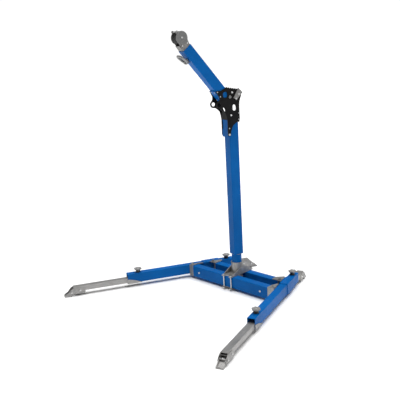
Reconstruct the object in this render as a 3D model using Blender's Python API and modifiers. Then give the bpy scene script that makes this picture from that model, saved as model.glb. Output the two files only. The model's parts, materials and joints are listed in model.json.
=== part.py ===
"""Portable lifting davit on a three-piece wheel-less H base: metres, +Z up, front towards -Y.

Two crossbars carry a socket for the swivelling mast. A splayed leg plugs into each end of the crossbars, and
every leg holds two sliding extensions with hinged toes. The mast carries a pivoting arm with two head sheaves.
"""

import math

import bmesh
import bpy
from mathutils import Matrix, Vector

NAME = "lifting_davit"
GAP = 0.0003

# Crossbars
BAR_WIDTH = 0.0635
BAR_HEIGHT = 0.0889
BAR_WALL = 0.004
BAR_BOTTOM = 0.0204
BAR_TOP = BAR_BOTTOM + BAR_HEIGHT
FRONT_BAR_Y = -0.0759
REAR_BAR_Y = 0.0785
FRONT_BAR_HALF = 0.392
REAR_BAR_LEFT = 0.287
REAR_BAR_RIGHT = 0.362
SET_BOLT_INSET = 0.070

# Legs, measured from where a leg's centre line crosses the front crossbar's centre line
LEGS = {
    "left": {"side": -1, "spacing": 0.4532, "splay": math.radians(26.45)},
    "right": {"side": 1, "spacing": 0.4737, "splay": math.radians(19.03)},
}
LEG_WIDTH = 0.058
LEG_HEIGHT = 0.0762
LEG_WALL = 0.0032
LEG_BOTTOM = 0.0324
LEG_TOP = LEG_BOTTOM + LEG_HEIGHT
LEG_FRONT_END = 0.539
LEG_REAR_END = 0.371
TUBE_MEETING = 0.176
COLLAR_START = 0.103
COLLAR_END = 0.248
COLLAR_WALL = 0.0040
FRONT_KNOB_AT = 0.447
REAR_KNOB_AT = 0.314
SHOE_LENGTH = 0.119
SHOE_WALL = 0.003
SHOE_RISE = 0.034
STUB_LENGTH = 0.180
CAP_THICKNESS = 0.006
CAP_TAIL = 0.012
REAR_RIGHT_LAP = 0.050

# Sliding extensions and their hinged toes
EXT_WIDTH = 0.0508
EXT_HEIGHT = 0.0381
EXT_WALL = 0.003
EXT_BOTTOM = LEG_BOTTOM + LEG_WALL + GAP
EXT_TOP = EXT_BOTTOM + EXT_HEIGHT
FRONT_EXT_END = 0.974
FRONT_EXT_LENGTH = 0.620
REAR_EXT_END = 0.512
REAR_EXT_LENGTH = 0.290
FOOT_PLATE = 0.0035
TOE_PIVOT = (0.016, 0.034)
TOE_REACH = 0.073
TOE_PIN_RADIUS = 0.005
TOE_EYE_RADIUS = 0.009
TOE_CHEEK = 0.004

# Clamp knobs
KNOB_RADIUS = 0.032
KNOB_LOBES = 6
HUB_RADIUS = 0.018
HUB_HEIGHT = 0.025
KNOB_THICKNESS = 0.010
STEM_RADIUS = 0.006

# Mast socket
SLEEVE_RADIUS = 0.0455
SLEEVE_FOOT_RADIUS = 0.0435
SLEEVE_BORE = 0.0405
CHEEK_X = 0.0465
SLEEVE_PHASE = math.radians(2.3)
SLEEVE_BOTTOM = 0.0387
SLEEVE_TOP = 0.204
SOCKET_FLOOR = 0.006
PLATE_THICKNESS = 0.006
PLATE_HALF_WIDTH = 0.050
PLATE_HALF_LENGTH = 0.128
ROD_X = 0.037
ROD_Y = 0.117
ROD_RADIUS = 0.005
BUSH_BOTTOM = 0.046
BUSH_HEIGHT = 0.157
BUSH_SLACK = 0.0004

# Mast, turned about its own axis from straight ahead
MAST_TURN = math.radians(-15.0)
TUBE_SIZE = 0.078
TUBE_WALL = 0.004
TUBE_CORNER = 0.005
SPIGOT_RADIUS = 0.0385
SPIGOT_BORE = 0.029
SPIGOT_BOTTOM = SLEEVE_BOTTOM + SOCKET_FLOOR + GAP
MAST_BOTTOM = 0.272
MAST_TOP = 1.372
PLUG_LENGTH = 0.120

# Elbow, with distances ahead of the mast's axis and heights above the floor
ELBOW_PLATE = 0.006
ELBOW_PIVOT = (0.029, 1.484)
ELBOW_PIVOT_RADIUS = 0.008
BOLT_RADIUS = 0.005
STOP_BOLT = (0.010, 1.516)
MIDDLE_BOLT = (0.026, 1.351)
LOWER_BOLT = (0.046, 1.210)
CHANNEL_DEPTH = 0.0155
CHANNEL_BOTTOM = 1.190
CHANNEL_TOP = 1.366
BRIDGE_BOTTOM = 1.318
BRIDGE_TOP = 1.374
BRIDGE_THICKNESS = 0.0045
BRIDGE_LIP = (0.011, 1.246)
STRAP = ((0.043, 1.545), (0.077, 1.511), (0.022, 1.458), (-0.001, 1.476))
STRAP_THICKNESS = 0.008
CREST_START = (0.054, 1.558)
CREST_END = (-0.035, 1.541)
CREST_TEETH = 5
CREST_DEPTH = 0.010
EYE = (0.121, 1.434)
EYE_RADIUS = 0.027
EYE_BORE = 0.0150

# Arm, in a frame at the elbow pivot with +Z along the arm and -Y towards its underside
ARM_ANGLE = math.radians(50.3)
ARM_OFFSET = -0.0179
ARM_START = -0.0315
ARM_END = 0.4905
HEAD_AXLE = (-0.002, 0.568)
HEAD_RADIUS = 0.040
DISC_RADIUS = 0.046
DISC_THICKNESS = 0.0035
HEAD_PLATE = 0.006
SHEAVE_RADIUS = 0.045
SHEAVE_WIDTH = 0.022
AXLE_RADIUS = 0.008
KEEPER_REACH = 0.052
KEEPER_RADIUS = 0.004
HEAD_ROOT = ARM_END - 0.060
WEB_THICKNESS = 0.006
WEB_END = 0.535
SHEAVE_GROOVE = 0.0068
GUIDE_START = 0.018
GUIDE_LENGTH = 0.099
GUIDE_DEPTH = 0.007
GUIDE_WALL = 0.003
GUIDE_HALF = 0.035
RING_BAR = 0.009
RING_LENGTH = 0.070
RING_WIDTH = 0.056
RING_CORNER = 0.018
RING_HINGE = (-0.079, 0.411)
LUG_RADIUS = 0.0145
LUG_HALF = 0.008
RING_TILT = math.radians(12.0)


def clear_scene():
    for obj in list(bpy.data.objects):
        bpy.data.objects.remove(obj, do_unlink=True)


def make_collection(name, hidden=False):
    collection = bpy.data.collections.new(name)
    bpy.context.scene.collection.children.link(collection)
    collection.hide_render = hidden
    return collection


def make_material(name, color, metallic, roughness):
    material = bpy.data.materials.new(name)
    material.use_nodes = True
    shader = material.node_tree.nodes["Principled BSDF"]
    shader.inputs["Base Color"].default_value = (*color, 1.0)
    shader.inputs["Metallic"].default_value = metallic
    shader.inputs["Roughness"].default_value = roughness
    return material


clear_scene()
PARTS = make_collection(NAME)
CUTTERS = make_collection(NAME + "_cutters", hidden=True)
BLUE = make_material("blue_paint", (0.020, 0.100, 0.330), 0.0, 0.35)
ALLOY = make_material("plain_alloy", (0.420, 0.410, 0.400), 0.9, 0.42)
BLACK = make_material("black_plate", (0.010, 0.009, 0.009), 0.1, 0.45)
STEEL = make_material("bright_steel", (0.550, 0.550, 0.550), 1.0, 0.30)
GREY = make_material("grey_moulding", (0.300, 0.300, 0.300), 0.0, 0.50)
NYLON = make_material("nylon", (0.650, 0.640, 0.600), 0.0, 0.55)


def empty(name, parent, location=(0, 0, 0), rotation=(0, 0, 0)):
    obj = bpy.data.objects.new(name, None)
    obj.location = location
    obj.rotation_euler = rotation
    obj.parent = parent
    PARTS.objects.link(obj)
    return obj


def finish_mesh(name, mesh, material, parent, location, rotation=(0, 0, 0)):
    obj = bpy.data.objects.new(name, mesh)
    if material:
        mesh.materials.append(material)
        PARTS.objects.link(obj)
    else:
        CUTTERS.objects.link(obj)
        obj.hide_render = True
        obj.display_type = "WIRE"
    obj.location = location
    obj.rotation_euler = rotation
    obj.parent = parent
    return obj


def axis_matrix(axis):
    """The turn that takes a shape made along +Z, with its outline in XY, to the plane across the given axis."""
    if axis == "X":
        return Matrix(((0, 0, 1, 0), (1, 0, 0, 0), (0, 1, 0, 0), (0, 0, 0, 1)))
    if axis == "Y":
        return Matrix(((1, 0, 0, 0), (0, 0, -1, 0), (0, 1, 0, 0), (0, 0, 0, 1)))
    return Matrix.Identity(4)


def prism(name, loops, depth, axis, material, parent, location=(0, 0, 0), rotation=(0, 0, 0)):
    """A flat outline, with any holes as further loops, extruded by depth about its own plane.

    Outline points are (y, z) across X, (x, z) across Y and (x, y) across Z.
    """
    curve = bpy.data.curves.new(name, "CURVE")
    curve.dimensions = "2D"
    curve.fill_mode = "BOTH"
    curve.extrude = depth / 2
    for loop in loops:
        spline = curve.splines.new("POLY")
        spline.points.add(len(loop) - 1)
        for point, (u, v) in zip(spline.points, loop):
            point.co = (u, v, 0, 1)
        spline.use_cyclic_u = True
    flat = bpy.data.objects.new(name + "_outline", curve)
    PARTS.objects.link(flat)
    graph = bpy.context.evaluated_depsgraph_get()
    mesh = bpy.data.meshes.new_from_object(flat.evaluated_get(graph))
    bpy.data.objects.remove(flat, do_unlink=True)
    weld = bmesh.new()
    weld.from_mesh(mesh)
    bmesh.ops.remove_doubles(weld, verts=weld.verts, dist=0.000001)
    bmesh.ops.recalc_face_normals(weld, faces=weld.faces)
    weld.to_mesh(mesh)
    weld.free()
    mesh.transform(axis_matrix(axis))
    return finish_mesh(name, mesh, material, parent, location, rotation)


def cylinder(name, radius, depth, axis, material, parent, location=(0, 0, 0), segments=24):
    shape = bmesh.new()
    bmesh.ops.create_cone(
        shape, cap_ends=True, segments=segments, radius1=radius, radius2=radius, depth=depth
    )
    mesh = bpy.data.meshes.new(name)
    shape.to_mesh(mesh)
    shape.free()
    mesh.transform(axis_matrix(axis))
    mesh.shade_smooth()
    mesh.set_sharp_from_angle(angle=math.radians(35))
    return finish_mesh(name, mesh, material, parent, location)


def box(name, size, material, parent, location=(0, 0, 0), rotation=(0, 0, 0)):
    shape = bmesh.new()
    bmesh.ops.create_cube(shape, size=1.0)
    bmesh.ops.scale(shape, vec=Vector(size), verts=shape.verts)
    mesh = bpy.data.meshes.new(name)
    shape.to_mesh(mesh)
    shape.free()
    return finish_mesh(name, mesh, material, parent, location, rotation)


def turned(name, profile, axis, material, parent, location=(0, 0, 0), steps=24, closed=False):
    """A profile of (radius, height) points spun about the axis; an open one starts and ends on the axis."""
    edges = [(i, i + 1) for i in range(len(profile) - 1)]
    if closed:
        edges.append((len(profile) - 1, 0))
    mesh = bpy.data.meshes.new(name)
    mesh.from_pydata([(radius, 0, height) for radius, height in profile], edges, [])
    obj = finish_mesh(name, mesh, material, parent, location, turn_for(axis))
    screw = obj.modifiers.new("spin", "SCREW")
    screw.axis = "Z"
    screw.steps = steps
    screw.render_steps = steps
    screw.use_merge_vertices = True
    screw.merge_threshold = 0.00001
    screw.use_smooth_shade = False
    return obj


def turn_for(axis):
    return {"X": (0, math.pi / 2, 0), "Y": (-math.pi / 2, 0, 0), "Z": (0, 0, 0)}[axis]


def combine(obj, tools, operation):
    """Joins or cuts obj with shapes that sit in the cutters' collection."""
    for tool in tools:
        boolean = obj.modifiers.new(operation.lower(), "BOOLEAN")
        boolean.operation = operation
        boolean.solver = "EXACT"
        boolean.object = tool
    return obj


def rounded(width, height, radius, steps=3):
    """A rectangle about the origin with round corners, as one loop."""
    loop = []
    corners = ((1, 1, 0), (-1, 1, 90), (-1, -1, 180), (1, -1, 270))
    for sx, sy, start in corners:
        cx = sx * (width / 2 - radius)
        cy = sy * (height / 2 - radius)
        loop += arc(cx, cy, radius, start, start + 90, steps)
    return loop


def rectangle(width, height):
    w = width / 2
    h = height / 2
    return [(w, h), (-w, h), (-w, -h), (w, -h)]


def arc(cx, cy, radius, start, end, steps):
    """Points along an arc, both ends included, with its angles in degrees."""
    points = []
    for i in range(steps + 1):
        angle = math.radians(start + (end - start) * i / steps)
        points.append((cx + radius * math.cos(angle), cy + radius * math.sin(angle)))
    return points


def circle(cx, cy, radius, steps=14):
    return arc(cx, cy, radius, 0, 360, steps)[:-1]


def slot(ax, ay, bx, by, radius, steps=6):
    """A round-ended slot between two centres."""
    heading = math.degrees(math.atan2(by - ay, bx - ax))
    head = arc(bx, by, radius, heading - 90, heading + 90, steps)
    tail = arc(ax, ay, radius, heading + 90, heading + 270, steps)
    return head + tail


def through_bolt(name, shank, grip, head, height, axis, material, parent, location, steps=16):
    """A bolt with its nut fast on it, centred on its grip."""
    half = grip / 2
    profile = [
        (0, half + height),
        (head * 0.8, half + height),
        (head, half + height * 0.6),
        (head, half),
        (shank, half),
        (shank, -half),
        (head, -half),
        (head, -half - height),
        (0, -half - height),
    ]
    return turned(name, profile, axis, material, parent, location, steps)


def leg_inner_x(leg, y, half_width):
    """How far out the inner face of a leg lies, at a place along the stand."""
    centre = leg["spacing"] - (y - FRONT_BAR_Y) * math.tan(leg["splay"])
    return centre - half_width / math.cos(leg["splay"])


def make_crossbar(name, parent, y, left, right, bolt_holes):
    outer = rounded(BAR_WIDTH, BAR_HEIGHT, 0.0034, 2)
    inner = rectangle(BAR_WIDTH - 2 * BAR_WALL, BAR_HEIGHT - 2 * BAR_WALL)
    centre = ((right - left) / 2, y, BAR_BOTTOM + BAR_HEIGHT / 2)
    bar = prism(name, [outer, inner], left + right, "X", BLUE, parent, centre)
    if not bolt_holes:
        return
    for side, label, half in ((-1, "left", left), (1, "right", right)):
        x = side * (half - SET_BOLT_INSET)
        face = y - BAR_WIDTH / 2
        hole = cylinder(f"{label}_set_hole", BOLT_RADIUS + GAP, 4 * BAR_WALL, "Y", None, parent,
                        (x, face, centre[2]), 16)
        combine(bar, [hole], "DIFFERENCE")
        profile = [(0, 0.005), (0.005, 0.005), (0.008, 0.003), (0.008, 0), (BOLT_RADIUS, 0),
                   (BOLT_RADIUS, -BAR_WALL), (0, -BAR_WALL)]
        bolt = turned(f"front_{label}_set_bolt", profile, "Z", STEEL, parent,
                      (x, face - GAP, centre[2]), 16)
        bolt.rotation_euler = (math.pi / 2, 0, 0)


def socket_plate_outline():
    """The clamp plates' shape: a long plate whose ends are hollowed between two lugs."""
    hollow = ROD_X - 0.012
    loop = [(-PLATE_HALF_WIDTH, -PLATE_HALF_LENGTH), (-hollow, -PLATE_HALF_LENGTH)]
    loop += arc(0, -PLATE_HALF_LENGTH, hollow, 170, 10, 8)
    loop += [(hollow, -PLATE_HALF_LENGTH), (PLATE_HALF_WIDTH, -PLATE_HALF_LENGTH)]
    return loop + [(-x, -y) for x, y in loop]


def make_socket(parent):
    plate_z = BAR_TOP + GAP + PLATE_THICKNESS / 2
    rod_holes = [circle(sx * ROD_X, sy * ROD_Y, ROD_RADIUS + GAP, 12) for sx in (-1, 1) for sy in (-1, 1)]
    outline = socket_plate_outline()
    socket = prism("mast_socket", [outline] + rod_holes, PLATE_THICKNESS, "Z", ALLOY, parent, (0, 0, plate_z))
    joined = []
    steps = ((SLEEVE_RADIUS, plate_z, SLEEVE_TOP), (SLEEVE_FOOT_RADIUS, SLEEVE_BOTTOM, plate_z + 0.001))
    for radius, low, high in steps:
        sleeve = cylinder("sleeve_outside", radius, high - low, "Z", None, parent, (0, 0, (low + high) / 2), 38)
        sleeve.rotation_euler = (0, 0, SLEEVE_PHASE)
        joined.append(sleeve)
    foot = BAR_TOP + GAP + PLATE_THICKNESS / 2
    cheek = [(-0.106, foot), (0.106, foot), (0.106, 0.1245), (0.121, 0.1245), (0.121, 0.131),
             (0.018, 0.174), (0.002, 0.174), (-0.106, 0.119)]
    for side in (-1, 1):
        joined.append(prism("cheek_shape", [cheek], PLATE_THICKNESS, "X", None, parent, (side * CHEEK_X, 0, 0)))
    combine(socket, joined, "UNION")
    bore_bottom = SLEEVE_BOTTOM + SOCKET_FLOOR
    bore = cylinder("sleeve_bore", SLEEVE_BORE, 0.2, "Z", None, parent, (0, 0, bore_bottom + 0.1), 38)
    bore.rotation_euler = (0, 0, SLEEVE_PHASE)
    drain = cylinder("sleeve_drain", 0.020, 0.1, "Z", None, parent, (0, 0, bore_bottom), 18)
    combine(socket, [bore, drain], "DIFFERENCE")

    low_z = BAR_BOTTOM - GAP - PLATE_THICKNESS / 2
    prism("clamp_plate", [outline] + rod_holes, PLATE_THICKNESS, "Z", ALLOY, parent, (0, 0, low_z))
    top = plate_z + PLATE_THICKNESS / 2 + GAP
    bottom = low_z - PLATE_THICKNESS / 2 - GAP
    for sx, across in ((-1, "left"), (1, "right")):
        for sy, along in ((-1, "front"), (1, "rear")):
            through_bolt(f"{along}_{across}_clamp_rod", ROD_RADIUS, top - bottom, 0.0085, 0.0075, "Z", STEEL,
                         parent, (sx * ROD_X, sy * ROD_Y, (top + bottom) / 2), 12)

    outer = SLEEVE_BORE - BUSH_SLACK
    inner = SPIGOT_RADIUS + BUSH_SLACK
    ring = [(outer, BUSH_HEIGHT), (outer, 0), (inner, 0), (inner, BUSH_HEIGHT)]
    turned("mast_bush", ring, "Z", NYLON, parent, (0, 0, BUSH_BOTTOM), 38, closed=True)


def make_bracket(name, label, parent, bar_y, bar_half, leg_half_width, tail, recess, overlap):
    """The casting between a crossbar's end and a leg: a stub for the crossbar, a wedge block and a top plate.

    The block starts a recess behind the crossbar's front, and the top plate lies over the bar by the overlap.
    """
    leg = LEGS[label]
    side = leg["side"]
    y0 = bar_y - BAR_WIDTH / 2 + 0.001
    y1 = bar_y + BAR_WIDTH / 2 - 0.001
    tail_y = bar_y + tail
    near = bar_half + GAP
    reach = leg_half_width + GAP
    tip = leg_inner_x(leg, tail_y, reach)
    face = y0 + recess
    block = [(near, face), (leg_inner_x(leg, face, reach), face), (leg_inner_x(leg, y1, reach), y1), (near, y1)]
    lap = near - overlap
    plate = [(lap, y0), (leg_inner_x(leg, y0, reach), y0), (tip, tail_y), (tip - CAP_TAIL, tail_y),
             (lap, y1 - CAP_TAIL)]
    mirror = [(side * x, y) for x, y in block]
    merge = 0.002
    body = prism(name, [mirror], BAR_HEIGHT + merge, "Z", ALLOY, parent,
                 (0, 0, BAR_BOTTOM + (BAR_HEIGHT + merge) / 2))
    top = [(side * x, y) for x, y in plate]
    cap = prism("bracket_cap", [top], CAP_THICKNESS, "Z", None, parent,
                (0, 0, BAR_TOP + GAP + CAP_THICKNESS / 2))
    stub_length = STUB_LENGTH + 0.010
    stub_x = side * (near + 0.010 - stub_length / 2)
    clear = 2 * (BAR_WALL + GAP)
    stub_loops = [rectangle(BAR_WIDTH - clear, BAR_HEIGHT - clear), rectangle(0.040, 0.066)]
    stub = prism("bracket_stub", stub_loops, stub_length, "X", None, parent,
                 (stub_x, bar_y, BAR_BOTTOM + BAR_HEIGHT / 2))
    boss_x = leg_inner_x(leg, y0 + 0.016, reach) - 0.016
    boss = cylinder("bracket_boss", 0.0115, 0.017, "Z", None, parent, (side * boss_x, y0 + 0.016, 0.118), 20)
    combine(body, [cap, stub, boss], "UNION")
    bore = cylinder("bracket_bore", 0.006, 0.030, "Z", None, parent, (side * boss_x, y0 + 0.016, 0.1255), 16)
    combine(body, [bore], "DIFFERENCE")


def star_outline():
    """The clamp knob's grip: a circle with a lobe at each finger."""
    points = []
    count = KNOB_LOBES * 6
    for i in range(count):
        angle = 2 * math.pi * i / count
        radius = KNOB_RADIUS - 0.0035 * (1 - math.cos(KNOB_LOBES * angle))
        points.append((radius * math.cos(angle), radius * math.sin(angle)))
    return points


def make_knob(name, parent, y):
    stem_bottom = EXT_TOP + GAP - LEG_TOP
    profile = [(0, HUB_HEIGHT), (HUB_RADIUS - 0.002, HUB_HEIGHT), (HUB_RADIUS, HUB_HEIGHT / 2),
               (HUB_RADIUS, GAP), (STEM_RADIUS, GAP), (STEM_RADIUS, stem_bottom), (0, stem_bottom)]
    hub = turned("knob_hub_shape", profile, "Z", None, parent, (0, y, LEG_TOP), 16)
    star = prism(name, [star_outline()], KNOB_THICKNESS, "Z", GREY, parent,
                 (0, y, LEG_TOP + HUB_HEIGHT + KNOB_THICKNESS / 2 - 0.001))
    combine(star, [hub], "UNION")


def make_leg_tube(name, parent, front_y, rear_y, knob_y):
    length = rear_y - front_y
    loops = [rounded(LEG_WIDTH, LEG_HEIGHT, 0.003), rectangle(LEG_WIDTH - 2 * LEG_WALL, LEG_HEIGHT - 2 * LEG_WALL)]
    tube = prism(name, loops, length, "Y", BLUE, parent,
                 (0, (front_y + rear_y) / 2, LEG_BOTTOM + LEG_HEIGHT / 2))
    hole = cylinder("knob_hole", STEM_RADIUS + 0.0004, 0.03, "Z", None, parent, (0, knob_y, LEG_TOP), 20)
    combine(tube, [hole], "DIFFERENCE")


def make_shoe(name, parent):
    """A wedge-shaped saddle under a leg's front end, which takes the extension's bending."""
    half = LEG_WIDTH / 2 + GAP
    low = LEG_BOTTOM - GAP
    outer = half + SHOE_WALL
    section = [(-outer, low - SHOE_WALL), (outer, low - SHOE_WALL), (outer, low + SHOE_RISE),
               (half, low + SHOE_RISE), (half, low), (-half, low), (-half, low + SHOE_RISE),
               (-outer, low + SHOE_RISE)]
    front = -LEG_FRONT_END - 0.004
    shoe = prism(name, [section], SHOE_LENGTH, "Y", ALLOY, parent, (0, front + SHOE_LENGTH / 2, 0))
    top = low + SHOE_RISE + 0.001
    rear = front + SHOE_LENGTH
    wedge = [(rear + 0.01, top), (rear + 0.01, low + 0.0015), (rear - 0.006, low + 0.002),
             (rear - 0.050, low + 0.019), (front + 0.030, low + SHOE_RISE - 0.004), (front + 0.004, top)]
    cutter = prism("shoe_taper", [wedge], 0.1, "X", None, parent)
    combine(shoe, [cutter], "DIFFERENCE")


def make_extension(prefix, parent, end, length, direction):
    """One sliding extension with its foot bracket and toe; direction is -1 forwards and 1 rearwards."""
    middle = direction * (end - length / 2)
    cell = (EXT_HEIGHT - 3 * EXT_WALL) / 2
    across = EXT_WIDTH - 2 * EXT_WALL
    lift = (cell + EXT_WALL) / 2
    openings = [[(x, z + shift) for x, z in rectangle(across, cell)] for shift in (-lift, lift)]
    prism(f"{prefix}_extension", [rounded(EXT_WIDTH, EXT_HEIGHT, 0.002, 2)] + openings, length, "Y", ALLOY,
          parent, (0, middle, EXT_BOTTOM + EXT_HEIGHT / 2))

    def along(reach):
        return direction * (end + reach)

    pivot = (along(TOE_PIVOT[0]), TOE_PIVOT[1])
    side_outline = [(-0.090, 0.046), (-0.064, 0.064), (-0.006, 0.068), (0.014, 0.060), (0.036, 0.036),
                    (0.034, 0.020), (0.014, 0.015), (-0.040, 0.020), (-0.074, 0.022), (-0.086, 0.018),
                    (-0.092, 0.024)]
    plate = [(along(reach), height) for reach, height in side_outline]
    hole = circle(pivot[0], pivot[1], TOE_PIN_RADIUS + GAP, 14)
    offset = EXT_WIDTH / 2 + GAP + FOOT_PLATE / 2
    bracket = prism(f"{prefix}_foot_bracket", [plate, hole], FOOT_PLATE, "X", ALLOY, parent, (offset, 0, 0))
    other = prism("foot_side_shape", [plate, hole], FOOT_PLATE, "X", None, parent, (-offset, 0, 0))
    web_low = EXT_BOTTOM - GAP - 0.004
    web = box("foot_web_shape", (2 * offset, 0.074, 0.004), None, parent,
              (0, along(-0.043), web_low + 0.002))
    bolt = cylinder("foot_bolt_shape", 0.006, 0.005, "X", None, parent,
                    (offset + FOOT_PLATE / 2 + 0.0018, along(-0.052), 0.044), 8)
    bolt_far = cylinder("foot_bolt_shape", 0.006, 0.005, "X", None, parent,
                        (-offset - FOOT_PLATE / 2 - 0.0018, along(-0.052), 0.044), 8)
    combine(bracket, [web, other, bolt, bolt_far], "UNION")

    make_toe(f"{prefix}_toe", empty(f"{prefix}_toe_axis", parent, (0, pivot[0], pivot[1])), direction)


def make_toe(name, root, direction):
    """A forked wedge foot about its pin: two cheeks, a ramp between them and a flat sole."""
    sole = -TOE_PIVOT[1]
    far = TOE_REACH - TOE_PIVOT[0]
    outline = [(0.002, sole), (far, sole), (far, sole + 0.009), (0.016, 0.004)]
    outline += arc(0, 0, TOE_EYE_RADIUS, 15, 180, 5)
    above = [(-0.015, -0.009), (0.001, -0.009), (far - 0.012, sole + 0.007), (far + 0.010, sole + 0.007),
             (far + 0.010, 0.030), (-0.015, 0.030)]
    below = [(-0.015, sole + 0.005), (far - 0.026, sole + 0.005), (0.003, -0.015), (-0.015, -0.015)]
    width = EXT_WIDTH - 0.001

    def facing(points):
        return [(direction * reach, height) for reach, height in points]

    toe = prism(name, [facing(outline)], width, "X", ALLOY, root)
    gaps = []
    for points in (above, below):
        gaps.append(prism("toe_gap_shape", [facing(points)], width - 2 * TOE_CHEEK, "X", None, root))
    combine(toe, gaps, "DIFFERENCE")
    pin = cylinder("toe_pin_shape", TOE_PIN_RADIUS, EXT_WIDTH + 0.017, "X", None, root, (0, 0, 0), 14)
    combine(toe, [pin], "UNION")


def make_leg(label, parent):
    leg = LEGS[label]
    side = leg["side"]
    origin = (side * leg["spacing"], FRONT_BAR_Y, 0)
    axis = empty(f"{label}_leg_axis", parent, origin, (0, 0, side * leg["splay"]))
    make_leg_tube(f"{label}_front_leg_tube", axis, -LEG_FRONT_END, TUBE_MEETING, -FRONT_KNOB_AT)
    make_leg_tube(f"{label}_rear_leg_tube", axis, TUBE_MEETING + GAP, LEG_REAR_END, REAR_KNOB_AT)
    slack = 2 * GAP
    loops = [rounded(LEG_WIDTH + slack + 2 * COLLAR_WALL, LEG_HEIGHT + slack + 2 * COLLAR_WALL, 0.005),
             rectangle(LEG_WIDTH + slack, LEG_HEIGHT + slack)]
    prism(f"{label}_leg_collar", loops, COLLAR_END - COLLAR_START, "Y", BLUE, axis,
          (0, (COLLAR_START + COLLAR_END) / 2, LEG_BOTTOM + LEG_HEIGHT / 2))
    make_shoe(f"{label}_slide_shoe", axis)
    make_knob(f"{label}_front_knob", axis, -FRONT_KNOB_AT)
    make_knob(f"{label}_rear_knob", axis, REAR_KNOB_AT)
    make_extension(f"{label}_front", axis, FRONT_EXT_END, FRONT_EXT_LENGTH, -1)
    make_extension(f"{label}_rear", axis, REAR_EXT_END, REAR_EXT_LENGTH, 1)
    make_bracket(f"{label}_front_bracket", label, parent, FRONT_BAR_Y, FRONT_BAR_HALF, LEG_WIDTH / 2, 0.068, 0.0,
                 0.0)
    rear_end = REAR_BAR_LEFT if label == "left" else REAR_BAR_RIGHT
    rear_lap = 0.0 if label == "left" else REAR_RIGHT_LAP
    make_bracket(f"{label}_rear_bracket", label, parent, REAR_BAR_Y, rear_end, LEG_WIDTH / 2 + GAP + COLLAR_WALL,
                 0.060, BAR_WIDTH / 2, rear_lap)


def elbow_outline(neck, waist, throat):
    """The elbow plate, with its notched crest, tail and eye; points are (-ahead, height).

    The two plates differ in how far ahead the neck above the eye lies, how far behind the waist lies and in the
    throat, the curve between the tail and the eye.
    """
    crest_start = Vector(CREST_START)
    crest_end = Vector(CREST_END)
    crest = crest_end - crest_start
    down = Vector((crest.y, -crest.x)).normalized()
    if down.y > 0:
        down = -down
    points = [(0.149, 1.533), (0.104, 1.534), (0.070, 1.548)]
    for i in range(CREST_TEETH):
        rise = crest_start + crest * (i / CREST_TEETH)
        dip = crest_start + crest * ((i + 0.55) / CREST_TEETH) + down * CREST_DEPTH
        points += [tuple(rise), tuple(rise + crest * 0.08), tuple(dip)]
    points += [tuple(crest_end), (-0.070, 1.527), (-0.069, 1.488), (-0.054, 1.451), (-waist, 1.420),
               (-waist, 1.374), (-0.051, 1.322), (-0.046, 1.297), (-0.020, 1.294), (0.010, 1.275),
               (0.021, 1.254), (0.030, 1.228)]
    points += arc(LOWER_BOLT[0] - 0.0015, LOWER_BOLT[1], 0.0125, 180, 350, 6)
    points += throat
    points += arc(EYE[0], EYE[1], EYE_RADIUS, -100, 60, 9)
    points += [(neck, 1.472), (neck, 1.491)]
    return [(-ahead, height) for ahead, height in points]


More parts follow.
